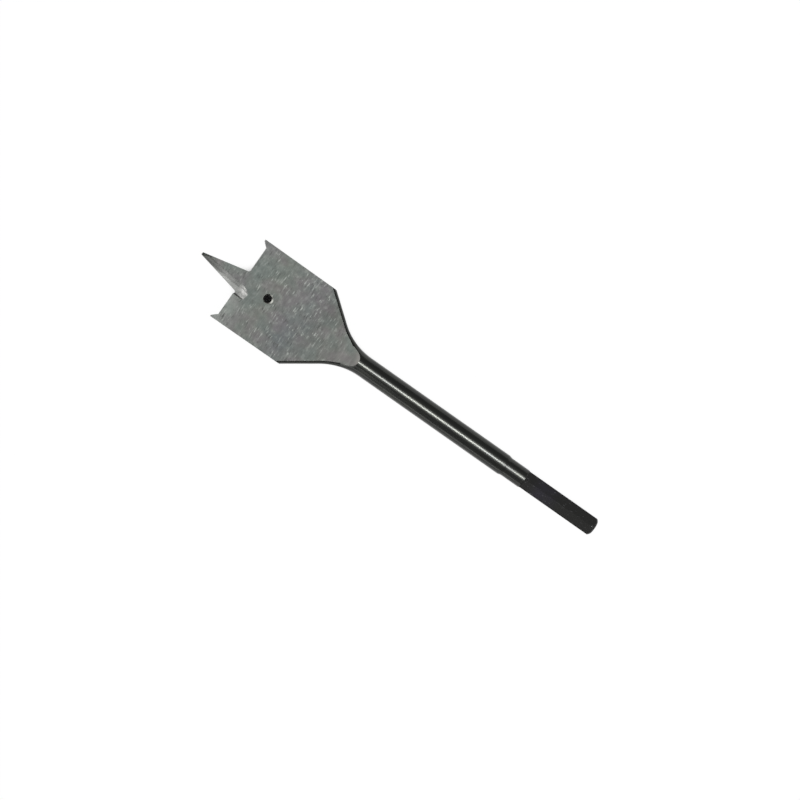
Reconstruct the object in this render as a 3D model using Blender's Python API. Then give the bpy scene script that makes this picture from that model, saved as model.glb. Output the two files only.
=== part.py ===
# Spade drill bit: one bar of steel, forged flat at one end, then ground, drilled and milled.
# The axis runs along X, with the point at -X and the hex shank at +X. The bit lies on the
# underside of its round shaft, at Z = 0, and is rolled over until its +Y spur touches too.
# It is modelled in the frame of that axis, in which the blade is level and faces +Z.
# A setback is a distance behind the very point, along the axis. Lengths are in metres.

import math

import bpy
import bmesh
from mathutils import Vector

MM = 0.001

# The whole bit
OVERALL_LENGTH = 162.5 * MM

# Point
POINT_TIP_WIDTH = 0.75 * MM
POINT_TIP_THICKNESS = 0.5 * MM
POINT_TIP_BEVEL = 3.7 * MM          # length over which the point thins towards its tip
POINT_BASE_WIDTH = 7.8 * MM         # where it meets the line of the lips
POINT_ROOT_RADIUS = 0.5 * MM

# Cutting lips and spurs
CUTTING_DIAMETER = 32.0 * MM
LIP_SETBACK = 16.6 * MM
LIP_RELIEF = math.radians(12.0)     # the lip falls away behind its cutting edge
SPUR_HEIGHT = 1.9 * MM              # ahead of the lip
SPUR_WIDTH = 2.15 * MM
SPUR_TIP_LAND = 0.45 * MM
SPUR_HOLLOW = 0.12 * MM             # how far the inner edge of a spur bows inwards

# Blade
BLADE_THICKNESS = 3.0 * MM
SHOULDER_SETBACK = 43.7 * MM
BACK_TAPER = 0.17 * MM              # each side, from the spurs to the shoulders

# Hollow grind beside the point, one on each face, half a turn apart
GRIND_DEPTH = 1.0 * MM
GRIND_HEADING = math.radians(6.5)   # its upper edge leads away from the axis, going back
GRIND_START = -0.75 * MM            # and begins this far over on the other side of the axis
GRIND_BLEND = 2.0 * MM              # width over which its floor rises to that edge
GRIND_WIDTH = 4.0 * MM              # from its upper edge to its side wall
GRIND_WALL_DRAFT = 0.35 * MM        # how far the side wall leans out
GRIND_REACH = 0.1 * MM              # straight run behind the lips
GRIND_WHEEL_RADIUS = 10.0 * MM

# Hole for hanging the bit or pulling it back
HOLE_DIAMETER = 3.1 * MM
HOLE_SETBACK = 27.45 * MM
HOLE_CHAMFER = 0.25 * MM

# Forged neck between the blade and the shaft
TAPER_ANGLE = math.radians(36.5)    # of the straight sides behind the shoulders, from the axis
NECK_RADIUS = 22.5 * MM
FORGE_LEAN = 0.05                   # one shoulder lies ahead of the other by this share of the width
FORGE_ALLOWANCE = 0.2 * MM          # left on each face for grinding
FORGED_BAND = 1.0 * MM              # of the rounded edge, this much shows beside the ground face
SWELL_LENGTH = 8.0 * MM             # over which the blade swells to the height of the shaft
SWELL_END_GAP = 2.6 * MM            # the swell is over this far ahead of the plain shaft
RUNOUT_RADIUS = 12.0 * MM           # left by the wheel where the ground face climbs the shaft

# Shaft and hex shank
SHAFT_DIAMETER = 7.5 * MM
SHAFT_END_BEVEL = 1.4 * MM
RELIEF_DIAMETER = 6.85 * MM         # turned down between the shaft and the hex
RELIEF_LENGTH = 7.35 * MM
HEX_LENGTH = 28.75 * MM
HEX_ACROSS_FLATS = 6.35 * MM
HEX_ACROSS_CORNERS = 7.2 * MM
HEX_LEAD_IN = 0.5 * MM              # over which each flat runs out at its front end
END_BEVEL_LENGTH = 1.3 * MM         # at the flats
END_BEVEL_DEPTH = 0.7 * MM
END_BEVEL_CROWN = 0.15 * MM

# Facets: a multiple of four puts one flat facet of the shaft underneath, which the bit lies on
ROUND_SEGMENTS = 64
HOLE_SEGMENTS = 48
NECK_STEPS = 17
RUNOUT_STEPS = 12
FILLET_STEPS = 5
SPUR_STEPS = 4
GRIND_STEPS = 6
END_STEPS = 4
WHEEL_STEPS = 12
SHARP_ANGLE = math.radians(20.0)    # edges sharper than this show as edges

# How far the cutting shapes reach: past the steel, and up towards the axis of the grinding wheel
OVERCUT = 2.0 * MM
WHEEL_SHARE = 0.95

# Worked out from the sizes above
SHAFT_RADIUS = SHAFT_DIAMETER / 2
HALF_THICKNESS = BLADE_THICKNESS / 2
HALF_CUT = CUTTING_DIAMETER / 2
SPUR_SETBACK = LIP_SETBACK - SPUR_HEIGHT
TIP_LEAD = (HALF_THICKNESS - POINT_TIP_THICKNESS / 2) * math.tan(LIP_RELIEF)
SHOULDER_HALF_WIDTH = HALF_CUT - BACK_TAPER
NECK_ARC_RADIUS = min(NECK_RADIUS, (SHOULDER_HALF_WIDTH - SHAFT_RADIUS) / (1 - math.cos(TAPER_ANGLE)))
NECK_ARC_DEPTH = NECK_ARC_RADIUS * (1 - math.cos(TAPER_ANGLE))
TAPER_END = SHOULDER_SETBACK + (
    (SHOULDER_HALF_WIDTH - SHAFT_RADIUS - NECK_ARC_DEPTH) / math.tan(TAPER_ANGLE)
)
NECK_END = TAPER_END + NECK_ARC_RADIUS * math.sin(TAPER_ANGLE)
SWELL_END = NECK_END - SWELL_END_GAP
HEX_SETBACK = OVERALL_LENGTH - HEX_LENGTH
RELIEF_SETBACK = HEX_SETBACK - RELIEF_LENGTH
REST_HEIGHT = SHAFT_RADIUS * math.cos(math.pi / ROUND_SEGMENTS)
CORNER_RADIUS = math.hypot(HALF_CUT, HALF_THICKNESS)
REST_ROLL = math.asin(REST_HEIGHT / CORNER_RADIUS) - math.atan2(HALF_THICKNESS, HALF_CUT)


def along(setback):
    return setback - OVERALL_LENGTH / 2


def blend(start, end, share):
    return start + (end - start) * share


def smooth_step(start, end, value):
    share = min(max((value - start) / (end - start), 0.0), 1.0)
    return share * share * (3 - 2 * share)


def bowed_line(start, end, bow, steps):
    # Points of a shallow arc from start to end, which stands out by bow on its left side.
    chord = end - start
    left = Vector((-chord.y, chord.x)).normalized()
    points = []
    for step in range(steps + 1):
        share = step / steps
        points.append(start + chord * share + left * bow * 4 * share * (1 - share))
    return points


def loft(name, rings, material):
    # Skins a row of closed rings, all with as many points, and closes both ends.
    shape = bmesh.new()
    rows = [[shape.verts.new(point) for point in ring] for ring in rings]
    count = len(rings[0])
    for row, following in zip(rows, rows[1:]):
        for index in range(count):
            beside = (index + 1) % count
            shape.faces.new((row[index], row[beside], following[beside], following[index]))
    shape.faces.new(rows[0])
    shape.faces.new(rows[-1])
    bmesh.ops.recalc_face_normals(shape, faces=shape.faces)
    mesh = bpy.data.meshes.new(name)
    shape.to_mesh(mesh)
    shape.free()
    mesh.materials.append(material)
    body = bpy.data.objects.new(name, mesh)
    bpy.context.scene.collection.objects.link(body)
    return body


def steel(name, colour, roughness):
    material = bpy.data.materials.new(name)
    material.use_nodes = True
    shader = material.node_tree.nodes["Principled BSDF"]
    shader.inputs["Base Color"].default_value = (*colour, 1.0)
    shader.inputs["Metallic"].default_value = 1.0
    shader.inputs["Roughness"].default_value = roughness
    material.diffuse_color = (*colour, 1.0)
    return material


def cut(body, cutter, operation):
    # A cutter stays in the file as a wire guide, and its faces give the cut its own finish.
    cutter.parent = body.parent
    cutter.hide_render = True
    cutter.display_type = "WIRE"
    step = body.modifiers.new(cutter.name, "BOOLEAN")
    step.operation = operation
    step.solver = "EXACT"
    step.material_mode = "TRANSFER"
    step.object = cutter


def settle(body):
    # Keeps the cut shape as the mesh itself, so that its new edges can be marked sharp.
    graph = bpy.context.evaluated_depsgraph_get()
    mesh = bpy.data.meshes.new_from_object(body.evaluated_get(graph))
    body.modifiers.clear()
    body.data = mesh
    mesh.shade_smooth()
    mesh.set_sharp_from_angle(angle=SHARP_ANGLE)


# Forged bar

def forged_half_width(setback):
    if setback <= TAPER_END:
        return SHOULDER_HALF_WIDTH - (setback - SHOULDER_SETBACK) * math.tan(TAPER_ANGLE)
    run = max(NECK_END - setback, 0.0)
    return SHAFT_RADIUS + NECK_ARC_RADIUS - math.sqrt(NECK_ARC_RADIUS ** 2 - run ** 2)


def forged_section(setback):
    # A flat bar with bullnose edges, which turns into a full round along the neck.
    half_width = min(forged_half_width(setback), HALF_CUT + OVERCUT)
    swell = smooth_step(SWELL_END - SWELL_LENGTH, SWELL_END, setback)
    half_height = blend(HALF_THICKNESS + FORGE_ALLOWANCE, SHAFT_RADIUS, swell)
    level = HALF_THICKNESS / half_height
    edge = min(FORGED_BAND / (1 - math.sqrt(1 - level * level)), half_width)
    return bar_ring(setback, half_width, half_height, edge)


def lean(setback, y):
    # The forging is out of square at its shoulders, and the neck takes that up.
    return FORGE_LEAN * y * (1 - smooth_step(SHOULDER_SETBACK, NECK_END, setback))


def bar_ring(setback, half_width, half_height, edge):
    # The corners are turned with the rest pose, which leaves a facet of the shaft underneath.
    ring = []
    for index in range(ROUND_SEGMENTS):
        turn = REST_ROLL + (index + 0.5) * 2 * math.pi / ROUND_SEGMENTS
        side = math.copysign(half_width - edge, math.cos(turn))
        y = side + edge * math.cos(turn)
        z = half_height * math.sin(turn)
        ring.append((along(setback) + lean(setback, y), y, z))
    return ring


def round_ring(setback, radius):
    return bar_ring(setback, radius, radius, radius)


def shank_end_profile():
    # Setback and radius of the turned bevel, from the corners of the hex to its end face.
    end_radius = HEX_ACROSS_FLATS / 2 - END_BEVEL_DEPTH
    slope = END_BEVEL_DEPTH / END_BEVEL_LENGTH
    corner_radius = HEX_ACROSS_CORNERS / 2
    bevel_start = OVERALL_LENGTH - (corner_radius - end_radius) / slope
    start = Vector((bevel_start, corner_radius))
    end = Vector((OVERALL_LENGTH, end_radius))
    return bowed_line(start, end, END_BEVEL_CROWN, END_STEPS)


def forged_bar(material):
    widest = SHOULDER_SETBACK - (OVERCUT + BACK_TAPER) / math.tan(TAPER_ANGLE)
    setbacks = [-OVERCUT, widest, SHOULDER_SETBACK]
    for step in range(NECK_STEPS + 1):
        setbacks.append(blend(TAPER_END, NECK_END, step / NECK_STEPS))
    rings = [forged_section(setback) for setback in setbacks]
    step_up = (HEX_ACROSS_CORNERS - RELIEF_DIAMETER) / 2
    rings.append(round_ring(RELIEF_SETBACK - SHAFT_END_BEVEL, SHAFT_RADIUS))
    rings.append(round_ring(RELIEF_SETBACK, RELIEF_DIAMETER / 2))
    rings.append(round_ring(HEX_SETBACK - step_up, RELIEF_DIAMETER / 2))
    for setback, radius in [(HEX_SETBACK, HEX_ACROSS_CORNERS / 2), *shank_end_profile()]:
        rings.append(round_ring(setback, radius))
    return loft("spade_bit", rings, material)


# Ground faces

def face_grinding(material):
    # Seen from the side: both flat faces, the thinned tip, and the wheel's run-out up the shaft.
    climb = RUNOUT_RADIUS - (SHAFT_RADIUS - HALF_THICKNESS)
    start = SWELL_END - math.sqrt(RUNOUT_RADIUS ** 2 - climb ** 2)
    last_angle = math.acos((climb - FORGE_ALLOWANCE) / RUNOUT_RADIUS)
    upper = [(-OVERCUT, POINT_TIP_THICKNESS / 2), (0.0, POINT_TIP_THICKNESS / 2)]
    upper.append((POINT_TIP_BEVEL, HALF_THICKNESS))
    for step in range(RUNOUT_STEPS + 1):
        angle = last_angle * step / RUNOUT_STEPS
        setback = start + RUNOUT_RADIUS * math.sin(angle)
        upper.append((setback, HALF_THICKNESS + RUNOUT_RADIUS * (1 - math.cos(angle))))
    clear_height = SHAFT_RADIUS + OVERCUT
    upper += [(upper[-1][0], clear_height), (OVERALL_LENGTH + OVERCUT, clear_height)]
    lower = [(setback, -height) for setback, height in reversed(upper)]
    rings = []
    for y in (-HALF_CUT - 2 * OVERCUT, HALF_CUT + 2 * OVERCUT):
        rings.append([(along(setback), y, height) for setback, height in upper + lower])
    return loft("face_grinding", rings, material)


# Plan outline of the point, lips, spurs and sides

def point_root_fillet():
    flare = math.atan2((POINT_BASE_WIDTH - POINT_TIP_WIDTH) / 2, LIP_SETBACK + TIP_LEAD)
    centre_setback = LIP_SETBACK - POINT_ROOT_RADIUS
    rise = (POINT_ROOT_RADIUS + math.sin(flare) * (centre_setback + TIP_LEAD)) / math.cos(flare)
    centre = Vector((centre_setback, POINT_TIP_WIDTH / 2 + rise))
    points = []
    for step in range(FILLET_STEPS + 1):
        angle = blend(flare - math.pi / 2, 0.0, step / FILLET_STEPS)
        points.append(centre + POINT_ROOT_RADIUS * Vector((math.cos(angle), math.sin(angle))))
    return points


def half_outline():
    # Setback and distance from the axis, from the tip round to the back end.
    spur_root = Vector((LIP_SETBACK, HALF_CUT - SPUR_WIDTH))
    spur_tip = Vector((SPUR_SETBACK, HALF_CUT - SPUR_TIP_LAND))
    side_slope = BACK_TAPER / (SHOULDER_SETBACK - SPUR_SETBACK)
    back = OVERALL_LENGTH + OVERCUT
    points = [Vector((-TIP_LEAD, POINT_TIP_WIDTH / 2))]
    points += point_root_fillet()
    points += bowed_line(spur_root, spur_tip, -SPUR_HOLLOW, SPUR_STEPS)
    points.append(Vector((SPUR_SETBACK, HALF_CUT)))
    points.append(Vector((back, HALF_CUT - side_slope * (back - SPUR_SETBACK))))
    return points


def outline_ring(height):
    # The steel turns clockwise seen from the shank. So the -Y half cuts with its upper edge and the
    # +Y half with its lower edge, and each falls back from there by the relief angle.
    ring = []
    half = half_outline()
    for side in (1, -1):
        fall = (HALF_THICKNESS + side * height) * math.tan(LIP_RELIEF)
        points = []
        for setback, reach in half:
            y = side * reach
            points.append((along(setback) + fall, y, height))
        ring += points if side == 1 else list(reversed(points))
    return ring


def outline_grinding(material):
    tip = POINT_TIP_THICKNESS / 2
    reach = SHAFT_RADIUS + OVERCUT
    rings = [outline_ring(height) for height in (-reach, -tip, tip, reach)]
    return loft("outline_grinding", rings, material)


# Hollow grinds

def grind_section():
    # Across the grind: distance from its upper edge, and height over the middle of the blade.
    floor = HALF_THICKNESS - GRIND_DEPTH
    top = floor + GRIND_WHEEL_RADIUS * WHEEL_SHARE
    edge_slope = 2 * GRIND_DEPTH / GRIND_BLEND
    section = [(-OVERCUT, HALF_THICKNESS + OVERCUT * edge_slope)]
    for step in range(GRIND_STEPS + 1):
        share = step / GRIND_STEPS
        section.append((GRIND_BLEND * share, HALF_THICKNESS - GRIND_DEPTH * share * (2 - share)))
    section.append((GRIND_WIDTH, floor))
    section.append((GRIND_WIDTH + (top - floor) * GRIND_WALL_DRAFT / GRIND_DEPTH, top))
    section.append((-OVERCUT, top))
    return section


def hollow_grind(name, material):
    # A straight groove along the point, ended by the round of the wheel that made it. The wheel
    # is followed until it is as high over the face as the groove is deep.
    section = grind_section()
    wheel_axis = min(height for across, height in section) + GRIND_WHEEL_RADIUS
    wheel_setback = LIP_SETBACK + GRIND_REACH
    last_angle = math.acos(1 - 2 * GRIND_DEPTH / GRIND_WHEEL_RADIUS)
    rings = [[(-OVERCUT, -across, height) for across, height in section]]
    for step in range(WHEEL_STEPS + 1):
        angle = last_angle * step / WHEEL_STEPS
        ring = []
        for across, height in section:
            radius = wheel_axis - height
            forward = wheel_setback + radius * math.sin(angle)
            ring.append((forward, -across, wheel_axis - radius * math.cos(angle)))
        rings.append(ring)
    return loft(name, rings, material)


def place_grind(grind, half_turn):
    side = 1 if half_turn else -1
    grind.location = (along(0.0), side * GRIND_START, 0.0)
    grind.rotation_euler = (math.pi if half_turn else 0.0, 0.0, side * GRIND_HEADING)
    return grind


# Hole and hex

def hanging_hole(material):
    radius = HOLE_DIAMETER / 2
    clear = HALF_THICKNESS + OVERCUT
    profile = [
        (-clear, radius + HOLE_CHAMFER + OVERCUT),
        (HOLE_CHAMFER - HALF_THICKNESS, radius),
        (HALF_THICKNESS - HOLE_CHAMFER, radius),
        (clear, radius + HOLE_CHAMFER + OVERCUT),
    ]
    rings = []
    for height, ring_radius in profile:
        ring = []
        for index in range(HOLE_SEGMENTS):
            turn = index * 2 * math.pi / HOLE_SEGMENTS
            x = along(HOLE_SETBACK) + ring_radius * math.cos(turn)
            ring.append((x, ring_radius * math.sin(turn), height))
        rings.append(ring)
    return loft("hanging_hole", rings, material)


def hexagon_ring(setback, across_flats):
    # One corner faces straight up and one straight down.
    corner_radius = across_flats / math.sqrt(3)
    ring = []
    for index in range(6):
        turn = math.pi / 2 + index * math.pi / 3
        ring.append((along(setback), corner_radius * math.cos(turn), corner_radius * math.sin(turn)))
    return ring


def hex_milling(material):
    clear = CUTTING_DIAMETER + 4 * OVERCUT
    lead = HEX_SETBACK - HEX_LEAD_IN
    rings = [
        hexagon_ring(-OVERCUT, clear),
        hexagon_ring(lead, clear),
        hexagon_ring(lead, RELIEF_DIAMETER),
        hexagon_ring(HEX_SETBACK, HEX_ACROSS_FLATS),
        hexagon_ring(OVERALL_LENGTH + OVERCUT, HEX_ACROSS_FLATS),
    ]
    return loft("hex_milling", rings, material)


def main():
    for item in list(bpy.data.objects):
        bpy.data.objects.remove(item, do_unlink=True)

    forged = steel("black_oxide_steel", (0.022, 0.022, 0.021), 0.38)
    ground = steel("ground_steel", (0.26, 0.27, 0.26), 0.34)

    bit_axis = bpy.data.objects.new("bit_axis", None)
    bpy.context.scene.collection.objects.link(bit_axis)
    bit_axis.location = (0.0, 0.0, REST_HEIGHT)
    bit_axis.rotation_euler = (-REST_ROLL, 0.0, 0.0)

    bit = forged_bar(forged)
    bit.parent = bit_axis
    cut(bit, face_grinding(ground), "INTERSECT")
    cut(bit, outline_grinding(ground), "INTERSECT")
    cut(bit, place_grind(hollow_grind("front_hollow_grind", ground), False), "DIFFERENCE")
    cut(bit, place_grind(hollow_grind("back_hollow_grind", ground), True), "DIFFERENCE")
    cut(bit, hanging_hole(ground), "DIFFERENCE")
    cut(bit, hex_milling(forged), "INTERSECT")
    settle(bit)


main()
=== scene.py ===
# A spade drill bit lying on a pale studio floor, seen square onto its blade.
# The bit is drawn in millimetres in its own frame: the point at -X, the shank at +X, the blade
# level and facing +Z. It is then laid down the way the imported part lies, on its shaft and one spur.

import math

import bpy
import bmesh
from mathutils import Matrix, Vector


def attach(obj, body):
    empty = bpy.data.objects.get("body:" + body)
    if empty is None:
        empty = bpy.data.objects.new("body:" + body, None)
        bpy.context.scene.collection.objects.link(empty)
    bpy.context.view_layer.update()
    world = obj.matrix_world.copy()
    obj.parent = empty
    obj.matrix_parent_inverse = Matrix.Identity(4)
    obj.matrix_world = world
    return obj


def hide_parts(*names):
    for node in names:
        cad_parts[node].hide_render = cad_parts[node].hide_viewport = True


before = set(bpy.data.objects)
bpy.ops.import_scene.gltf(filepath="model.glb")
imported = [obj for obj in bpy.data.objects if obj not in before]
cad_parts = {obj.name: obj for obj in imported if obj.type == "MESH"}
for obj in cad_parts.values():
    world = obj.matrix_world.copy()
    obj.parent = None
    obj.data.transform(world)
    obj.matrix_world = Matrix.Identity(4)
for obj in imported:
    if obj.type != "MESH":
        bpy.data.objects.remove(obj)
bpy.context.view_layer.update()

mm = 0.001
bitLength = 162.5
touch = 0.01                       # mm: what lies closer than this counts as the same place

# How the bit lies: rolled about its axis until one spur touches the floor
rest = {"height": 3.7455, "roll": math.radians(8.1221)}
layDown = Matrix.Translation((0, 0, rest["height"] * mm)) @ Matrix.Rotation(-rest["roll"], 4, "X")


def fromTip(setback):
    # The X of a place this far behind the tip
    return setback - bitLength / 2


def ease(start, end, value):
    share = min(max((value - start) / (end - start), 0.0), 1.0)
    return share * share * (3 - 2 * share)


def mix(a, b, share):
    return a + (b - a) * share


def bowed(share):
    # 0 at both ends of a stretch, 1 in its middle
    return 4 * share * (1 - share)


# Colours and nodes

def srgb(code):
    channels = [int(code[i:i + 2], 16) / 255 for i in (1, 3, 5)]
    linear = [c / 12.92 if c <= 0.04045 else ((c + 0.055) / 1.055) ** 2.4 for c in channels]
    return (*linear, 1.0)


def addNode(tree, kind, settings=None, inputs=None):
    node = tree.nodes.new(kind)
    for name, value in (settings or {}).items():
        setattr(node, name, value)
    for name, value in (inputs or {}).items():
        if isinstance(value, bpy.types.NodeSocket):
            tree.links.new(value, node.inputs[name])
        else:
            node.inputs[name].default_value = value
    return node


def startMaterial(name):
    material = bpy.data.materials.new(name)
    material.use_nodes = True
    material.node_tree.nodes.clear()
    return material, material.node_tree


def finishMetal(tree, colour, roughness, bump=None):
    inputs = {"Metallic": 1.0, "Base Color": colour, "Roughness": roughness}
    if bump:
        inputs["Normal"] = bump
    shader = addNode(tree, "ShaderNodeBsdfPrincipled", None, inputs)
    addNode(tree, "ShaderNodeOutputMaterial", None, {"Surface": shader.outputs[0]})


def bitCoordinates(tree):
    # Object coordinates turned back into the bit's own frame, so patterns line up with the blade
    coords = addNode(tree, "ShaderNodeTexCoord")
    turned = addNode(tree, "ShaderNodeMapping", {"vector_type": "POINT"},
                     {"Vector": coords.outputs["Object"], "Rotation": (rest["roll"], 0, 0)})
    return turned.outputs[0]


def grain(tree, coords, sizes, detail, roughness, shift=(0, 0, 0)):
    # Noise whose grains measure about sizes, in mm, along the bit, across it and through it
    stretched = addNode(tree, "ShaderNodeMapping", {"vector_type": "POINT"}, {
        "Vector": coords, "Scale": [1 / (size * mm) for size in sizes], "Location": shift})
    noise = addNode(tree, "ShaderNodeTexNoise", None, {
        "Vector": stretched.outputs[0], "Scale": 1.0, "Detail": detail, "Roughness": roughness})
    return noise.outputs["Fac"]


def rampColours(tree, factor, stops):
    # Each stop is a place and a colour, or a place and a plain share from 0 to 1
    ramp = addNode(tree, "ShaderNodeValToRGB", None, {"Fac": factor})
    while len(ramp.color_ramp.elements) < len(stops):
        ramp.color_ramp.elements.new(0.5)
    for element, (position, colour) in zip(ramp.color_ramp.elements, stops):
        element.position = position
        element.color = srgb(colour) if isinstance(colour, str) else (colour, colour, colour, 1)
    return ramp.outputs["Color"]


def spread(tree, value, low, high, toLow, toHigh):
    node = addNode(tree, "ShaderNodeMapRange", {"clamp": True}, {
        "Value": value, "From Min": low, "From Max": high, "To Min": toLow, "To Max": toHigh})
    return node.outputs["Result"]


def alongBit(tree, axes, start, end, atStart, atEnd):
    # Goes from one value to another between two places, given in mm behind the tip
    return spread(tree, axes.outputs[0], fromTip(start) * mm, fromTip(end) * mm, atStart, atEnd)


def times(tree, a, b):
    node = addNode(tree, "ShaderNodeMath", {"operation": "MULTIPLY"}, {0: a, 1: b})
    return node.outputs[0]


def bumpFrom(tree, height, strength, depth):
    node = addNode(tree, "ShaderNodeBump", None, {
        "Height": height, "Strength": strength, "Distance": depth * mm})
    return node.outputs[0]


def axesOf(tree, coords):
    return addNode(tree, "ShaderNodeSeparateXYZ", None, {"Vector": coords})


def mixColour(tree, factor, a, b, how="MIX"):
    node = addNode(tree, "ShaderNodeMix", {"data_type": "RGBA", "blend_type": how})
    for index, value in ((0, factor), (6, a), (7, b)):
        if isinstance(value, bpy.types.NodeSocket):
            tree.links.new(value, node.inputs[index])
        else:
            node.inputs[index].default_value = srgb(value) if isinstance(value, str) else value
    return node.outputs[2]


# Grain sizes are in mm, along the bit, across it and through it. Places are in mm behind the tip.
# Levels are values of the noise: where a mark starts to show and where it is full.
groundFinish = {
    "colour": "#616361",
    "light": "#7c7f7b",
    "dark": "#444644",
    "cloudSize": (1.7, 1.9, 1.9),
    "cloudLevels": {"dark": (0.48, 0.3), "light": (0.54, 0.72)},
    "cloudStrength": 0.34,
    "strokeSize": (0.55, 2.6, 2.6),    # short strokes across the blade
    "strokeLevels": {"dark": (0.42, 0.33), "light": (0.58, 0.67)},
    "strokeStrength": 0.9,
    "strokePatchSize": (4, 5, 5),
    "strokePatchLevels": (0.44, 0.56),
    "strayStrokes": 0.08,              # this share of the strokes is left between the patches
    "scratchSize": (0.16, 2.6, 2.6),   # coarser than the real belt's lines, so that they show
    "scratchLevels": (0.45, 0.8),
    "scratchStrength": 0.2,
    "heatSize": (9, 9, 9),
    "hueSize": (7, 6, 6),
    "strokeDepth": 0.05,
    "roughness": 0.6,
    "roughnessSwing": 0.03,
    "tintLength": 66.0,
    "paintedShadeAndHighlightTints": [                         # painted shade darkens the tip bevel and the face towards its rear; a painted highlight brightens the tongue on the shaft
        (0.0, "#31322f"), (0.054, "#383937"), (0.06, "#5e605d"), (0.1, "#6b6c6a"), (0.27, "#636765"),
        (0.42, "#626460"), (0.58, "#5a5b5d"), (0.78, "#545552"), (0.87, "#545552"), (0.92, "#80807c"),
        (0.97, "#9a9a94")],
    "hues": [(0.38, "#e9f0ee"), (0.5, "#f1f2f0"), (0.62, "#f5eef2")],
    "lipBand": (18.0, 23.0),           # painted light: a paler band behind the lip
    "lipBandSide": (5.0, 6.5),         # it starts this far beside the axis, on the cutting half
    "lipBandStrength": 0.45,
    "calmRange": (44.0, 58.0),         # towards the neck the clouds and strokes fade
    "calm": 0.45,
}


def cuttingSide(tree, axes):
    # Below zero on the half that cuts with the face in view, on either face
    above = addNode(tree, "ShaderNodeMath", {"operation": "SIGN"}, {0: axes.outputs[2]})
    return times(tree, above.outputs[0], axes.outputs[1])


def groundSteel():
    # Carbon steel ground on a wide belt across the blade: a dull grey, clouded, with short light
    # and dark strokes here and there, faint colours left by the heat, painted shade on the tip and
    # towards the rear of the face, a painted highlight on the tongue and a painted light band behind the
    # lip
    finish = groundFinish
    material, tree = startMaterial("groundCarbonSteel")
    coords = bitCoordinates(tree)
    clouds = grain(tree, coords, finish["cloudSize"], 2.0, 0.55, (7, 3, 1))
    strokes = grain(tree, coords, finish["strokeSize"], 2.0, 0.6)
    scratches = grain(tree, coords, finish["scratchSize"], 2.0, 0.6, (3, 1, 0))
    patches = grain(tree, coords, finish["strokePatchSize"], 1.0, 0.5, (1, 6, 2))
    heat = grain(tree, coords, finish["heatSize"], 2.0, 0.5, (5, 2, 0))
    axes = axesOf(tree, coords)
    # painted shade and highlight along the bit: a darker tip and rear of the face, a lighter tongue
    tint = rampColours(tree, alongBit(tree, axes, 0, finish["tintLength"], 0.0, 1.0), finish["paintedShadeAndHighlightTints"])
    body = mixColour(tree, spread(tree, heat, 0.35, 0.65, 0.3, 1.0), finish["colour"], tint)
    hue = rampColours(tree, grain(tree, coords, finish["hueSize"], 1.0, 0.5, (3, 7, 5)), finish["hues"])
    body = mixColour(tree, 1.0, body, hue, "MULTIPLY")
    # painted light: a paler band behind the lip, on the cutting half only
    bandFront, bandBack = finish["lipBand"]
    bandInner, bandOuter = (-side * mm for side in finish["lipBandSide"])
    nearLip = alongBit(tree, axes, bandBack, bandFront, 0.0, 1.0)
    outside = spread(tree, cuttingSide(tree, axes), bandInner, bandOuter, 0.0, finish["lipBandStrength"])
    body = mixColour(tree, times(tree, nearLip, outside), body, finish["light"])
    busy = alongBit(tree, axes, *finish["calmRange"], 1.0, finish["calm"])
    for tone, levels in finish["cloudLevels"].items():
        cloud = times(tree, busy, spread(tree, clouds, *levels, 0.0, finish["cloudStrength"]))
        body = mixColour(tree, cloud, body, finish[tone])
    patch = spread(tree, patches, *finish["strokePatchLevels"], finish["strayStrokes"], 1.0)
    struck = times(tree, busy, patch)
    for tone, levels in finish["strokeLevels"].items():
        stroke = times(tree, struck, spread(tree, strokes, *levels, 0.0, finish["strokeStrength"]))
        body = mixColour(tree, stroke, body, finish[tone])
    scratched = spread(tree, scratches, *finish["scratchLevels"], 0.0, finish["scratchStrength"])
    body = mixColour(tree, scratched, body, finish["light"])
    rough = spread(tree, strokes, 0.3, 0.7, finish["roughness"] + finish["roughnessSwing"],
                   finish["roughness"] - finish["roughnessSwing"])
    dents = spread(tree, strokes, 0.3, 0.42, 0.0, 1.0)
    finishMetal(tree, body, rough, bumpFrom(tree, dents, 0.35, finish["strokeDepth"]))
    return material


edgeFinish = {"dark": "#565856", "light": "#70726f", "scratchSize": (6.0, 0.2, 0.12),
              "scratchDepth": 0.02, "roughness": 0.5}


def edgeSteel():
    # The same steel on the sides, lips, spurs and hole, ground lengthwise: finer and a little darker
    material, tree = startMaterial("edgeGroundSteel")
    coords = bitCoordinates(tree)
    scratches = grain(tree, coords, edgeFinish["scratchSize"], 2.0, 0.5)
    tone = mixColour(tree, spread(tree, scratches, 0.3, 0.7, 0.0, 1.0), edgeFinish["dark"],
                     edgeFinish["light"])
    bump = bumpFrom(tree, scratches, 0.15, edgeFinish["scratchDepth"])
    finishMetal(tree, tone, edgeFinish["roughness"], bump)
    return material


# the rim's light colour is partly a painted highlight
rimFinish = {"light": "#8a8b85", "dark": "#656662", "grainSize": (1.5, 0.5, 0.5), "roughness": 0.42}
# the chamfer's light colour also paints the glint in the hole
chamferFinish = {"light": "#9c9d97", "dark": "#868782", "grainSize": (0.3, 0.6, 0.6), "roughness": 0.38}


def brightSteelWithPaintedHighlight(name, finish):
    # Bare steel rubbed or cut bright, and painted lighter still as a highlight: the line where ground
    # face meets black forging, and the chamfer of the hole
    material, tree = startMaterial(name)
    coords = bitCoordinates(tree)
    wearAndTipShade = grain(tree, coords, finish["grainSize"], 2.0, 0.5, (4, 4, 2))
    tone = mixColour(tree, spread(tree, wearAndTipShade, 0.35, 0.6, 0.0, 1.0), finish["dark"], finish["light"])
    finishMetal(tree, tone, finish["roughness"])
    return material


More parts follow.
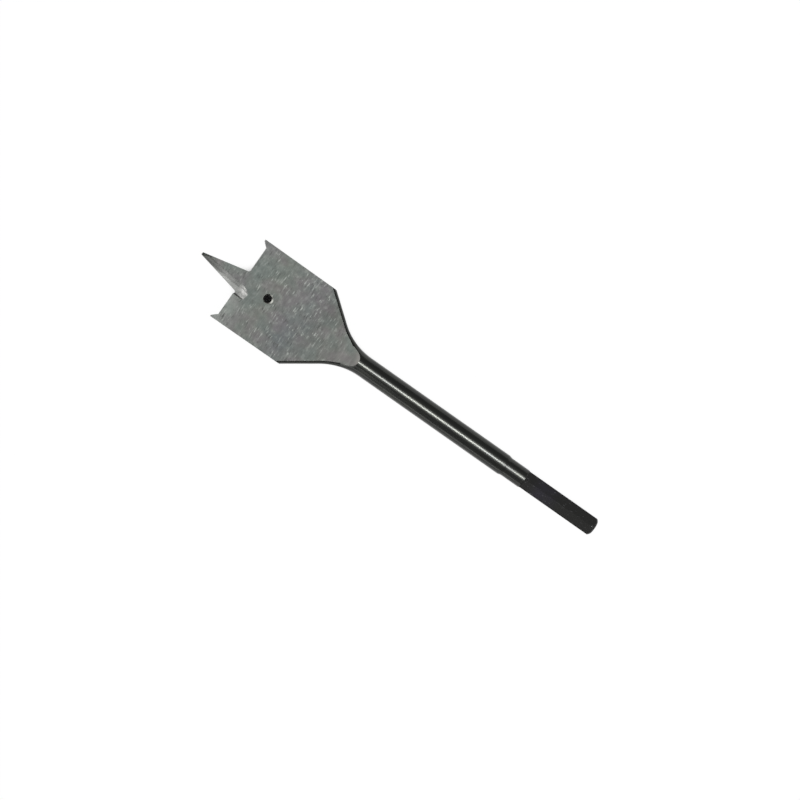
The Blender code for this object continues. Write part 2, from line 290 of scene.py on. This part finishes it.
hollowFinish = {
    "colour": "#6c6d6b",
    # painted shade: the groove is darker towards the tip
    "tip": "#595a58",
    "dark": "#616260",
    "glint": "#d4d4d1",
    "lineSize": (2.5, 0.3, 0.3),
    "lineLevels": (0.55, 0.3),
    "lineStrength": 0.35,
    "lineDepth": 0.03,
    "spotSize": (1.5, 0.8, 0.8),
    "spotLevels": (0.38, 0.62),
    "roughness": 0.46,
    "paintedGlintLength": 22.0,
    "paintedGlintAlong": [                         # painted glint along the groove, brightest where the wheel stopped
        (0.0, 0.0), (0.38, 0.05), (0.48, 0.26), (0.6, 0.16), (0.76, 0.05), (0.83, 0.7), (0.87, 1.0),
        (0.91, 0.85), (0.975, 0.5)],
    "paintedGlintSide": (2.8, 4.4),           # the painted glints fade this far beside the axis
    "paintedTipShadeRange": (4.5, 9.5),
}


def hollowSteel():
    # Fresh steel where a small wheel has cut beside the point: brighter, with fine lines along it,
    # painted glints where the wheel bit deepest, and painted shade darkening it towards the tip
    finish = hollowFinish
    material, tree = startMaterial("wheelGroundSteel")
    coords = bitCoordinates(tree)
    lines = grain(tree, coords, finish["lineSize"], 2.0, 0.6)
    spots = grain(tree, coords, finish["spotSize"], 2.0, 0.6, (2, 5, 1))
    axes = axesOf(tree, coords)
    # painted glint: bright patches on the groove, strongest where the wheel stopped
    paintedGlintAlong = rampColours(tree, alongBit(tree, axes, 0, finish["paintedGlintLength"], 0.0, 1.0), finish["paintedGlintAlong"])
    glintInner, glintOuter = (-side * mm for side in finish["paintedGlintSide"])
    middle = spread(tree, cuttingSide(tree, axes), glintOuter, glintInner, 0.3, 1.0)
    spotted = times(tree, middle, spread(tree, spots, *finish["spotLevels"], 0.4, 1.0))
    patch = times(tree, paintedGlintAlong, spotted)
    tipFront, tipBack = finish["paintedTipShadeRange"]
    # painted shade: the groove darkens towards the tip
    wearAndTipShade = alongBit(tree, axes, tipBack, tipFront, 0.0, 1.0)
    tone = mixColour(tree, wearAndTipShade, finish["colour"], finish["tip"])
    tone = mixColour(tree, patch, tone, finish["glint"])
    lined = spread(tree, lines, *finish["lineLevels"], 0.0, finish["lineStrength"])
    tone = mixColour(tree, lined, tone, finish["dark"])
    finishMetal(tree, tone, finish["roughness"], bumpFrom(tree, lines, 0.15, finish["lineDepth"]))
    return material


oxideFinish = {
    "colour": "#3e3f3e",
    "warm": "#424340",
    "cloudSize": (7, 3, 3),
    "roughness": 0.245,
    "reliefRoughness": 0.27,           # the thinner end of the shaft gleams less
    "reliefRange": (123.0, 127.0),
}


def oxideSteel():
    # Oiled black oxide on the forged neck and the turned shaft: near black, with a clean gleam
    finish = oxideFinish
    material, tree = startMaterial("oiledBlackOxide")
    coords = bitCoordinates(tree)
    cloud = grain(tree, coords, finish["cloudSize"], 2.0, 0.5)
    tone = mixColour(tree, spread(tree, cloud, 0.35, 0.65, 0.0, 1.0), finish["colour"], finish["warm"])
    axes = axesOf(tree, coords)
    rough = alongBit(tree, axes, *finish["reliefRange"], finish["roughness"], finish["reliefRoughness"])
    finishMetal(tree, tone, rough)
    return material


dullOxideFinish = {
    "colour": "#353534",
    "violet": "#3b3942",
    "speck": "#7c7d80",
    "cloudSize": (5, 2, 2),
    "speckSize": (1.6, 0.5, 0.5),
    "speckLevels": (0.64, 0.74),
    "speckStrength": 0.6,
    "speckRadii": (3.28, 3.42),        # specks show only this far from the axis, so near the corners
    "roughness": 0.5,
    "violetRange": (134.0, 148.0),
    "violetStrength": [(0.0, 0.0), (0.2, 0.1), (0.4, 0.7), (0.7, 0.6), (1.0, 0.0)],
}


def dullOxideSteel():
    # Dry black oxide on the milled hex: the same black, but dull, with pale specks where its
    # corners were handled and a breath of violet at its front end
    finish = dullOxideFinish
    material, tree = startMaterial("dryBlackOxide")
    coords = bitCoordinates(tree)
    cloud = grain(tree, coords, finish["cloudSize"], 2.0, 0.5, (6, 1, 3))
    specks = grain(tree, coords, finish["speckSize"], 2.0, 0.5, (2, 8, 4))
    alongHex = alongBit(tree, axesOf(tree, coords), *finish["violetRange"], 0.0, 1.0)
    front = rampColours(tree, alongHex, finish["violetStrength"])
    tinted = times(tree, front, spread(tree, cloud, 0.35, 0.6, 0.3, 1.0))
    tone = mixColour(tree, tinted, finish["colour"], finish["violet"])
    acrossHex = addNode(tree, "ShaderNodeVectorMath", {"operation": "MULTIPLY"}, {0: coords, 1: (0, 1, 1)})
    fromAxis = addNode(tree, "ShaderNodeVectorMath", {"operation": "LENGTH"}, {0: acrossHex.outputs[0]})
    inner, outer = (radius * mm for radius in finish["speckRadii"])
    corners = spread(tree, fromAxis.outputs["Value"], inner, outer, 0.0, 1.0)
    speckled = spread(tree, specks, *finish["speckLevels"], 0.0, finish["speckStrength"])
    wearAndTipShade = times(tree, corners, speckled)
    finishMetal(tree, mixColour(tree, wearAndTipShade, tone, finish["speck"]), finish["roughness"])
    return material


# Shaping helpers

def newMeshObject(name, shape, material):
    mesh = bpy.data.meshes.new(name)
    shape.to_mesh(mesh)
    shape.free()
    mesh.materials.append(material)
    item = bpy.data.objects.new(name, mesh)
    bpy.context.scene.collection.objects.link(item)
    return item


def vertsOf(result, key="geom"):
    return [item for item in result[key] if isinstance(item, bmesh.types.BMVert)]


def edgesOf(result):
    return [item for item in result["geom"] if isinstance(item, bmesh.types.BMEdge)]


def ribbedTube(shape, count, segments):
    # A unit circle drawn out along X in count steps of 1, closed at both ends
    made = bmesh.ops.create_circle(shape, cap_ends=False, segments=segments, radius=1.0,
                                   matrix=Matrix.Rotation(math.pi / 2, 4, "Y"))
    edges = list({edge for vert in made["verts"] for edge in vert.link_edges})
    for _ in range(count - 1):
        grown = bmesh.ops.extrude_edge_only(shape, edges=edges)
        edges = edgesOf(grown)
        bmesh.ops.translate(shape, verts=vertsOf(grown), vec=(1, 0, 0))
    bmesh.ops.holes_fill(shape, edges=shape.edges, sides=0)
    bmesh.ops.recalc_face_normals(shape, faces=shape.faces)


def turnedShape(stations, segments, phase=0.0):
    # Each station is a place along X and the radius there
    shape = bmesh.new()
    ribbedTube(shape, len(stations), segments)
    for vert in shape.verts:
        place, radius = stations[round(vert.co.x)]
        turn = math.atan2(vert.co.z, vert.co.y) + phase
        vert.co = (place, radius * math.cos(turn), radius * math.sin(turn))
    return shape


# The forged bar

bar = {
    "halfThickness": 1.7,          # before grinding
    "halfWidth": 18.0,             # before grinding, up to widestUntil
    "widestUntil": 41.05,
    "shoulder": 43.85,
    "shoulderHalfWidth": 15.83,
    "taperAngle": math.radians(36.5),
    "neckRadius": 22.5,
    "lean": 0.05,                  # one shoulder lies ahead of the other by this share of the width
    "blackBand": 1.2,              # of the rounded edge, this much shows beside the ground face
    "swellLength": 8.0,
    "swellEndGap": 2.6,
    "shaftRadius": 3.745,
    "reliefStart": 126.4,
    "reliefRadius": 3.42,
    "shaftEndBevel": 1.4,
    "bevelOverrun": 0.1,           # the bevel dies out this far onto the thinner end
    "hexStart": 133.75,
    "hexCornerRadius": 3.67,
    "hexSeat": 0.02,               # height of the sharp foot of the step up to the hex
    "endLength": 2.09,
    "endRadius": 2.475,
    "endBow": 0.32,                # how far the bevel round the end stands out of a straight one
    "endBowForward": 0.45,         # and the share of this by which it moves towards the end
    "endCrease": 0.2,
    "crease": 0.15,                # a ring this close to a corner keeps its shading crisp
    "creaseAngle": math.radians(12),
    "segments": 128,               # round the bar
    "taperSteps": 12,              # and rings along each stretch of it
    "neckSteps": 90,
    "bevelSteps": 6,
    "endSteps": 10,
    "overcut": 2.0,                # the bar starts this far ahead of the tip
}

neckArcDepth = bar["neckRadius"] * (1 - math.cos(bar["taperAngle"]))
taperEnd = bar["shoulder"] + (
    (bar["shoulderHalfWidth"] - bar["shaftRadius"] - neckArcDepth) / math.tan(bar["taperAngle"]))
neckEnd = taperEnd + bar["neckRadius"] * math.sin(bar["taperAngle"])
swellEnd = neckEnd - bar["swellEndGap"]


def barHalfWidth(setback):
    if setback <= taperEnd:
        return bar["shoulderHalfWidth"] - (setback - bar["shoulder"]) * math.tan(bar["taperAngle"])
    run = max(neckEnd - setback, 0.0)
    return bar["shaftRadius"] + bar["neckRadius"] - math.sqrt(bar["neckRadius"] ** 2 - run ** 2)


def barSection(setback):
    # Half width, half height and edge rounding of the forging
    halfWidth = min(barHalfWidth(setback), bar["halfWidth"])
    swell = ease(swellEnd - bar["swellLength"], swellEnd, setback)
    halfHeight = mix(bar["halfThickness"], bar["shaftRadius"], swell)
    level = blade["halfThickness"] / halfHeight
    edge = bar["blackBand"] / (1 - math.sqrt(1 - level * level))
    return halfWidth, halfHeight, min(edge, halfWidth)


def roundSection(radius):
    return radius, radius, radius


def barStations():
    front = (-bar["overcut"], bar["widestUntil"], bar["shoulder"])
    stations = [(setback, barSection(setback)) for setback in front]

    def ring(setback, radius):
        stations.append((setback, roundSection(radius)))

    for step in range(1, bar["taperSteps"] + 1):
        setback = mix(bar["shoulder"], taperEnd, step / bar["taperSteps"])
        stations.append((setback, barSection(setback)))
    for step in range(1, bar["neckSteps"] + 1):
        setback = mix(taperEnd, neckEnd, step / bar["neckSteps"])
        stations.append((setback, barSection(setback)))
    bevelStart = bar["reliefStart"] - bar["shaftEndBevel"]
    bevelEnd = bar["reliefStart"] + bar["bevelOverrun"]
    ring(bevelStart - bar["crease"], bar["shaftRadius"])
    for step in range(bar["bevelSteps"] + 1):
        share = step / bar["bevelSteps"]
        fall = ease(0, 1, share * 0.9 + 0.05)      # without the flattest bits at both ends
        ring(mix(bevelStart, bevelEnd, share), mix(bar["shaftRadius"], bar["reliefRadius"], fall))
    ring(bar["reliefStart"] + 2 * bar["crease"], bar["reliefRadius"])
    leadStart = bar["hexStart"] - (bar["hexCornerRadius"] - bar["reliefRadius"])
    ring(leadStart - bar["crease"], bar["reliefRadius"])
    ring(leadStart, bar["reliefRadius"] + bar["hexSeat"])
    ring(bar["hexStart"], bar["hexCornerRadius"])
    endStart = bitLength - bar["endLength"]
    ring(endStart - bar["endCrease"], bar["hexCornerRadius"])
    for step in range(bar["endSteps"] + 1):
        share = step / bar["endSteps"]
        bow = bar["endBow"] * bowed(share)
        radius = mix(bar["hexCornerRadius"], bar["endRadius"], share) + bow
        ring(mix(endStart, bitLength, share) + bow * bar["endBowForward"], radius)
    return stations


def forgedBar(forged, dull):
    stations = barStations()
    shape = bmesh.new()
    ribbedTube(shape, len(stations), bar["segments"])
    for vert in shape.verts:
        setback, (halfWidth, halfHeight, edge) = stations[round(vert.co.x)]
        turn = math.atan2(vert.co.z, vert.co.y)
        y = math.copysign(halfWidth - edge, math.cos(turn)) + edge * math.cos(turn)
        lean = bar["lean"] * y * (1 - ease(bar["shoulder"], neckEnd, setback))
        vert.co = (fromTip(setback) + lean, y, halfHeight * math.sin(turn))
    bmesh.ops.recalc_face_normals(shape, faces=shape.faces)
    for face in shape.faces:
        onHex = face.calc_center_median().x > fromTip(bar["hexStart"] - 2 * bar["crease"])
        face.material_index = 1 if onHex else 0
    item = newMeshObject("spadeDrillBit", shape, forged)
    item.data.materials.append(dull)
    return item


# Cutters: each one is the shape that a wheel or a mill takes away, or leaves

blade = {
    "halfThickness": 1.5,
    "halfCut": 16.0,
    "tipHalfThickness": 0.25,
    "tipHalfWidth": 0.45,
    "tipBevel": 3.7,
    "pointHalfWidth": 4.1,         # where the point meets the line of the lips
    "pointOffset": -0.13,          # it was ground a little off centre
    "rootRadius": 0.8,
    "rootSteps": 12,
    "lip": 16.6,
    "relief": math.radians(12.0),
    "spurHeight": 1.9,
    "spurWidth": 2.15,
    "spurLand": 0.45,
    "spurHollow": -0.04,           # below zero it stands out
    "spurSteps": 8,
    "backTaper": 0.17,
    "runoutRadius": 12.0,
    "runoutTop": 0.35,             # the wheel's sheet goes on until it is this far above the shaft
    "runoutSteps": 48,
    "ahead": 4.0,                  # how far the cutters reach past the bit
    "beside": 6.0,
    "halfBlock": 6.0,              # the outline is drawn this far up and down
    "clear": 12.0,                 # and the wheel's sheet this far away from the blade
}


def faceGrinding(material):
    # The sheet that the wheel leaves on the upper face, drawn up into a block, and its twin below
    shape = bmesh.new()
    climb = blade["runoutRadius"] - (bar["shaftRadius"] - blade["halfThickness"])
    start = swellEnd - math.sqrt(blade["runoutRadius"] ** 2 - climb ** 2)
    lastAngle = math.acos((climb - blade["runoutTop"]) / blade["runoutRadius"])
    wide = blade["halfCut"] + blade["beside"]
    profile = [(-blade["ahead"], blade["tipHalfThickness"]), (0.0, blade["tipHalfThickness"]),
               (blade["tipBevel"], blade["halfThickness"]), (start, blade["halfThickness"])]
    ends = [shape.verts.new((fromTip(profile[0][0]), y, profile[0][1])) for y in (-wide, wide)]
    edges = [shape.edges.new(ends)]
    for (fromX, fromZ), (toX, toZ) in zip(profile, profile[1:]):
        grown = bmesh.ops.extrude_edge_only(shape, edges=edges)
        edges = edgesOf(grown)
        bmesh.ops.translate(shape, verts=vertsOf(grown), vec=(toX - fromX, 0, toZ - fromZ))
    centre = (fromTip(start), 0, blade["halfThickness"] + blade["runoutRadius"])
    bmesh.ops.spin(shape, geom=edges + list(edges[0].verts), cent=centre, axis=(0, -1, 0),
                   dvec=(0, 0, 0), angle=lastAngle, steps=blade["runoutSteps"])
    grown = bmesh.ops.extrude_face_region(shape, geom=shape.faces[:])
    bmesh.ops.translate(shape, verts=vertsOf(grown), vec=(0, 0, blade["clear"]))
    bmesh.ops.mirror(shape, geom=shape.verts[:] + shape.edges[:] + shape.faces[:], merge_dist=0, axis="Z")
    bmesh.ops.recalc_face_normals(shape, faces=shape.faces)
    return newMeshObject("faceGrinding", shape, material)


def drawLine(shape, vert, point):
    made = bmesh.ops.extrude_vert_indiv(shape, verts=[vert])["verts"][0]
    made.co = point
    return made


def outlineGrinding(material):
    # Half of the plan outline is drawn from the tip, mirrored, filled and drawn up. Then each
    # half leans back by the relief angle behind its own cutting edge.
    lead = (blade["halfThickness"] - blade["tipHalfThickness"]) * math.tan(blade["relief"])
    flare = math.atan2(blade["pointHalfWidth"] - blade["tipHalfWidth"], blade["lip"] + lead)
    radius = blade["rootRadius"]
    centreX = blade["lip"] - radius
    rise = (radius + math.sin(flare) * (centreX + lead)) / math.cos(flare)
    centre = Vector((fromTip(centreX), blade["tipHalfWidth"] + rise, 0))
    filletStart = centre + radius * Vector((math.sin(flare), -math.cos(flare), 0))
    shape = bmesh.new()
    pen = shape.verts.new((fromTip(-lead), blade["tipHalfWidth"], 0))
    pen = drawLine(shape, pen, filletStart)
    turned = bmesh.ops.spin(shape, geom=[pen], cent=centre, axis=(0, 0, 1), dvec=(0, 0, 0),
                            angle=math.pi / 2 - flare, steps=blade["rootSteps"])
    pen = vertsOf(turned, "geom_last")[0]
    root = Vector((fromTip(blade["lip"]), blade["halfCut"] - blade["spurWidth"], 0))
    tip = Vector((fromTip(blade["lip"] - blade["spurHeight"]), blade["halfCut"] - blade["spurLand"], 0))
    inward = Vector((tip.y - root.y, root.x - tip.x, 0)).normalized()
    for step in range(blade["spurSteps"] + 1):
        share = step / blade["spurSteps"]
        bow = blade["spurHollow"] * bowed(share)
        pen = drawLine(shape, pen, root.lerp(tip, share) + inward * bow)
    pen = drawLine(shape, pen, (tip.x, blade["halfCut"], 0))
    slope = blade["backTaper"] / (bar["shoulder"] - blade["lip"] + blade["spurHeight"])
    back = bitLength + blade["ahead"]
    narrowing = slope * (back - blade["lip"] + blade["spurHeight"])
    drawLine(shape, pen, (fromTip(back), blade["halfCut"] - narrowing, 0))
    bmesh.ops.mirror(shape, geom=shape.verts[:] + shape.edges[:], merge_dist=0, axis="Y")
    point = [vert for vert in shape.verts if abs(vert.co.y) < centre.y + touch
             and vert.co.x < fromTip(blade["lip"]) + touch]
    bmesh.ops.translate(shape, verts=point, vec=(0, blade["pointOffset"], 0))
    openEnds = [vert for vert in shape.verts if len(vert.link_edges) == 1]
    front = [vert for vert in openEnds if vert.co.x < 0]
    rear = [vert for vert in openEnds if vert.co.x > 0]
    shape.edges.new(front)
    shape.edges.new(rear)
    bmesh.ops.contextual_create(shape, geom=shape.edges[:])
    bmesh.ops.translate(shape, verts=shape.verts, vec=(0, 0, -blade["halfBlock"]))
    layer = shape.faces[:]
    outer = blade["halfBlock"] - blade["tipHalfThickness"]
    for height in (outer, 2 * blade["tipHalfThickness"], outer):
        grown = bmesh.ops.extrude_face_region(shape, geom=layer)
        layer = [item for item in grown["geom"] if isinstance(item, bmesh.types.BMFace)]
        bmesh.ops.translate(shape, verts=vertsOf(grown), vec=(0, 0, height))
    for vert in shape.verts:
        side = math.copysign(1, vert.co.y)
        vert.co.x += (blade["halfThickness"] + side * vert.co.z) * math.tan(blade["relief"])
    bmesh.ops.recalc_face_normals(shape, faces=shape.faces)
    return newMeshObject("outlineGrinding", shape, material)


hollow = {
    "depth": 1.0,
    "heading": math.radians(5.5),
    "start": -0.75,                # its upper edge begins this far over on the other side
    "wheelCrown": 2.5,             # radius across the rising side of its floor
    "crownSteps": 14,
    "width": 4.15,
    "wallDraft": 0.35,
    "cornerRadius": 0.5,
    "cornerSteps": 8,
    "reach": 0.3,                  # its full depth goes on this far past the lip
    "wheelRadius": 10.0,
    "wheelSteps": 24,
    "ahead": 2.0,                  # how far the cutter reaches past the tip
    "over": 2.0,                   # past the upper edge of the groove
    "above": 8.0,                  # and above its floor
}


def hollowGrind(name, halfTurn, material):
    # A straight groove beside the point, ended by the round of the wheel. Its section is drawn
    # from the upper edge, down the crown, over the floor and up the side wall.
    shape = bmesh.new()
    floor = blade["halfThickness"] - hollow["depth"]
    crown, corner = hollow["wheelCrown"], hollow["cornerRadius"]
    edgeAngle = math.acos(1 - hollow["depth"] / crown)
    reach = crown * math.sin(edgeAngle)
    top = floor + hollow["above"]
    front = -hollow["ahead"]
    draft = hollow["wallDraft"] / hollow["depth"]
    wallAngle = math.pi / 2 - math.atan(draft)
    first = shape.verts.new((front, hollow["over"] * math.cos(edgeAngle),
                             blade["halfThickness"] + hollow["over"] * math.sin(edgeAngle)))
    pen = drawLine(shape, first, (front, 0, blade["halfThickness"]))
    turned = bmesh.ops.spin(shape, geom=[pen], cent=(front, -reach, floor + crown), axis=(-1, 0, 0),
                            dvec=(0, 0, 0), angle=edgeAngle, steps=hollow["crownSteps"])
    pen = vertsOf(turned, "geom_last")[0]
    pen = drawLine(shape, pen, (front, corner - hollow["width"], floor))
    turned = bmesh.ops.spin(shape, geom=[pen], cent=(front, corner - hollow["width"], floor + corner),
                            axis=(-1, 0, 0), dvec=(0, 0, 0), angle=wallAngle,
                            steps=hollow["cornerSteps"])
    pen = vertsOf(turned, "geom_last")[0]
    pen = drawLine(shape, pen, (front, pen.co.y - (top - pen.co.z) * draft, top))
    pen = drawLine(shape, pen, (front, first.co.y, top))
    shape.edges.new((pen, first))
    grooveEnd = blade["lip"] + hollow["reach"]
    grown = bmesh.ops.extrude_edge_only(shape, edges=shape.edges[:])
    ring = edgesOf(grown)
    bmesh.ops.translate(shape, verts=vertsOf(grown), vec=(hollow["ahead"] + grooveEnd, 0, 0))
    centre = (grooveEnd, 0, floor + hollow["wheelRadius"])
    lastAngle = math.acos(1 - 2 * hollow["depth"] / hollow["wheelRadius"])
    bmesh.ops.spin(shape, geom=ring + vertsOf(grown), cent=centre, axis=(0, -1, 0), dvec=(0, 0, 0),
                   angle=lastAngle, steps=hollow["wheelSteps"])
    bmesh.ops.holes_fill(shape, edges=shape.edges, sides=0)
    bmesh.ops.recalc_face_normals(shape, faces=shape.faces)
    side = 1 if halfTurn else -1
    turn = Matrix.Rotation(side * hollow["heading"], 4, "Z") @ Matrix.Rotation(
        math.pi if halfTurn else 0.0, 4, "X")
    place = Matrix.Translation((fromTip(0), side * hollow["start"], 0)) @ turn
    bmesh.ops.transform(shape, matrix=place, verts=shape.verts)
    return newMeshObject(name, shape, material)


# The chamfer was cut a little off centre, so it is widest on the shank side
hole = {"radius": 1.48, "setback": 27.3, "chamfer": 0.3, "chamferShift": 0.3, "over": 2.0, "segments": 96}


def hangingHole(material):
    edge = blade["halfThickness"] - hole["chamfer"]
    wide = hole["radius"] + hole["chamfer"] + hole["over"]
    reach = blade["halfThickness"] + hole["over"]
    stations = [(-reach, wide), (-edge, hole["radius"]), (edge, hole["radius"]), (reach, wide)]
    shape = turnedShape(stations, hole["segments"])
    stand = Matrix.Translation((fromTip(hole["setback"]), 0, 0)) @ Matrix.Rotation(math.pi / 2, 4, "Y")
    bmesh.ops.transform(shape, matrix=stand, verts=shape.verts)
    for vert in shape.verts:
        vert.co.x += hole["chamferShift"] * (abs(vert.co.z) - edge) / hole["chamfer"]
    return newMeshObject("hangingHole", shape, material)


hexShank = {"flatRadius": 3.175, "leadIn": 0.5, "leadRadius": 4.02, "clearRadius": 26.0, "over": 4.0}


def hexMilling(material):
    # Leaves a hexagon with one corner straight up; everything ahead of it stays as it is
    corner = hexShank["flatRadius"] / math.cos(math.pi / 6)
    lead = bar["hexStart"] - hexShank["leadIn"]
    stations = [(fromTip(-hexShank["over"]), hexShank["clearRadius"]),
                (fromTip(lead), hexShank["clearRadius"]), (fromTip(lead), hexShank["leadRadius"]),
                (fromTip(bar["hexStart"]), corner), (fromTip(bitLength + hexShank["over"]), corner)]
    return newMeshObject("hexMilling", turnedShape(stations, 6, math.pi / 2), material)


def cutWith(item, cutter, operation):
    step = item.modifiers.new(cutter.name, "BOOLEAN")
    step.operation = operation
    step.solver = "EXACT"
    step.material_mode = "TRANSFER"
    step.object = cutter
    graph = bpy.context.evaluated_depsgraph_get()
    mesh = bpy.data.meshes.new_from_object(item.evaluated_get(graph))
    item.modifiers.clear()
    item.data = mesh
    bpy.data.objects.remove(cutter, do_unlink=True)


rimBreak = {"width": 0.24, "leastAngle": math.radians(8)}


def burnishRim(item, material):
    # Breaks the edge between the ground faces and the black forging, in bright steel whose light colour is
    # partly a painted highlight
    item.data.materials.append(material)
    shape = bmesh.new()
    shape.from_mesh(item.data)
    rim = [edge for edge in shape.edges if len(edge.link_faces) == 2
           and edge.link_faces[0].material_index != edge.link_faces[1].material_index
           and edge.calc_face_angle() > rimBreak["leastAngle"]]
    made = bmesh.ops.bevel(shape, geom=rim, offset=rimBreak["width"] / 2, offset_type="WIDTH", segments=1,
                           profile=0.5, affect="EDGES", material=-1, clamp_overlap=True)
    for face in made["faces"]:
        face.material_index = len(item.data.materials) - 1
    shape.to_mesh(item.data)
    shape.free()


def buildBit():
    ground, edge, scoop = groundSteel(), edgeSteel(), hollowSteel()
    rim = brightSteelWithPaintedHighlight("burnishedRimWithPaintedHighlight", rimFinish)
    chamfer = brightSteelWithPaintedHighlight("chamferSteel", chamferFinish)
    gloss, dull = oxideSteel(), dullOxideSteel()
    bit = forgedBar(gloss, dull)
    print("forged bar drawn")
    cutWith(bit, faceGrinding(ground), "DIFFERENCE")
    burnishRim(bit, rim)
    cutWith(bit, outlineGrinding(edge), "INTERSECT")
    print("faces and outline ground")
    cutWith(bit, hollowGrind("frontHollow", False, scoop), "DIFFERENCE")
    cutWith(bit, hollowGrind("backHollow", True, scoop), "DIFFERENCE")
    cutWith(bit, hangingHole(chamfer), "DIFFERENCE")
    cutWith(bit, hexMilling(dull), "INTERSECT")
    print("hollows, hole and hex cut")
    bit.data.transform(layDown @ Matrix.Scale(mm, 4))
    bit.data.shade_smooth()
    bit.data.set_sharp_from_angle(angle=bar["creaseAngle"])
    return bit


bit = buildBit()
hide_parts("spade_bit")
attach(bit, "root")


# Studio

floorLook = {
    "colour": "#e6e6e5",
    "size": 3.0,                   # m
    "shadeReach": 12.0,            # mm
    "shadeSamples": 16,
    "covered": 0.24,               # with less open sky than this over it the board is painted dark
    "clear": 0.5,                  # and with more than this it is plain white
    "darkest": 0.004,
    "lightest": 0.97,
}


def studioFloor():
    # Matt white board. To the eye and in reflections it is plain white, but a soft shadow is painted
    # into it from ambient occlusion, darkest where the bit covers it.
    material, tree = startMaterial("mattWhiteBoard")
    shade = addNode(tree, "ShaderNodeAmbientOcclusion", {"samples": floorLook["shadeSamples"]},
                    {"Distance": floorLook["shadeReach"] * mm})
    sky = shade.outputs["AO"]
    covered, clear = floorLook["covered"], floorLook["clear"]
    # painted shadow: the white glow and the board's colour both darken with ambient occlusion
    plain = spread(tree, sky, covered, clear, floorLook["darkest"], floorLook["lightest"])
    board = mixColour(tree, spread(tree, sky, covered, clear, 0.0, 1.0), (0, 0, 0, 1), floorLook["colour"])
    diffuse = addNode(tree, "ShaderNodeBsdfDiffuse", None, {"Color": board})
    white = addNode(tree, "ShaderNodeEmission", None, {"Color": (1, 1, 1, 1), "Strength": 1.0})
    path = addNode(tree, "ShaderNodeLightPath")
    seen = addNode(tree, "ShaderNodeMath", {"operation": "MAXIMUM"}, {
        0: path.outputs["Is Camera Ray"], 1: path.outputs["Is Glossy Ray"]})
    seen = addNode(tree, "ShaderNodeMath", {"operation": "MAXIMUM"}, {
        0: seen.outputs[0], 1: path.outputs["Is Transmission Ray"]})
    both = addNode(tree, "ShaderNodeMixShader", None, {
        0: times(tree, seen.outputs[0], plain), 1: diffuse.outputs[0], 2: white.outputs[0]})
    addNode(tree, "ShaderNodeOutputMaterial", None, {"Surface": both.outputs[0]})
    shape = bmesh.new()
    bmesh.ops.create_grid(shape, x_segments=1, y_segments=1, size=floorLook["size"] / 2)
    item = newMeshObject("studioFloor", shape, material)


worldLook = {"glow": 0.28}


def studioWorld():
    # White to the camera, but only a dim soft light on the bit
    world = bpy.data.worlds.new("softStudio")
    world.use_nodes = True
    tree = world.node_tree
    background = tree.nodes["Background"]
    path = addNode(tree, "ShaderNodeLightPath")
    strength = spread(tree, path.outputs["Is Camera Ray"], 0.0, 1.0, worldLook["glow"], 1.0)
    tree.links.new(strength, background.inputs["Strength"])
    background.inputs["Color"].default_value = (1, 1, 1, 1)
    bpy.context.scene.world = world


# Places and sizes in mm in the bit's own frame. Glow is how bright the panel looks, where 1 is
# white. A level panel's size runs along the bit and across it, the others' upwards and sideways.
lamps = {
    "overhead": {"place": (-150, 0, 900), "size": (900, 700), "glow": 0.42, "level": True},
    "gleamStrip": {"place": (240, 25, 600), "size": (640, 84), "glow": 31.0, "level": True},
    "pointFill": {"place": (-620, 0, 330), "size": (620, 500), "glow": 2.2, "level": False},
    "scoopFill": {"place": (-240, -560, 330), "size": (500, 330), "glow": 2.0, "level": False},
    "sideFill": {"place": (20, -600, 60), "size": (140, 700), "glow": 1.6, "level": False},
}


def addLamp(name, spec):
    lamp = bpy.data.lights.new(name, "AREA")
    lamp.shape = "RECTANGLE"
    lamp.size, lamp.size_y = (side * mm for side in spec["size"])
    lamp.energy = spec["glow"] * math.pi * lamp.size * lamp.size_y
    item = bpy.data.objects.new(name, lamp)
    bpy.context.scene.collection.objects.link(item)
    place = Vector(spec["place"])
    aimed = (-place).to_track_quat("-Z", "X").to_matrix().to_4x4()
    turn = Matrix.Identity(4) if spec["level"] else aimed
    item.matrix_world = layDown @ Matrix.Translation(place * mm) @ turn


camera = {"aim": (2.48, -2.30), "distance": 400.0, "focal": 52.94, "sensor": 36.0,
          "turn": math.radians(35.1063)}


def addCamera():
    lens = bpy.data.cameras.new("squareOnTheBlade")
    lens.lens, lens.sensor_width = camera["focal"], camera["sensor"]
    lens.clip_start, lens.clip_end = 0.01, 10.0
    item = bpy.data.objects.new("squareOnTheBlade", lens)
    bpy.context.scene.collection.objects.link(item)
    place = Vector((*camera["aim"], camera["distance"])) * mm
    item.matrix_world = (layDown @ Matrix.Translation(place)
                         @ Matrix.Rotation(camera["turn"], 4, "Z"))
    bpy.context.scene.camera = item


studioFloor()
studioWorld()
for lampName, lampSpec in lamps.items():
    addLamp(lampName, lampSpec)
addCamera()
bpy.context.scene.view_settings.view_transform = "Standard"
print("studio set")
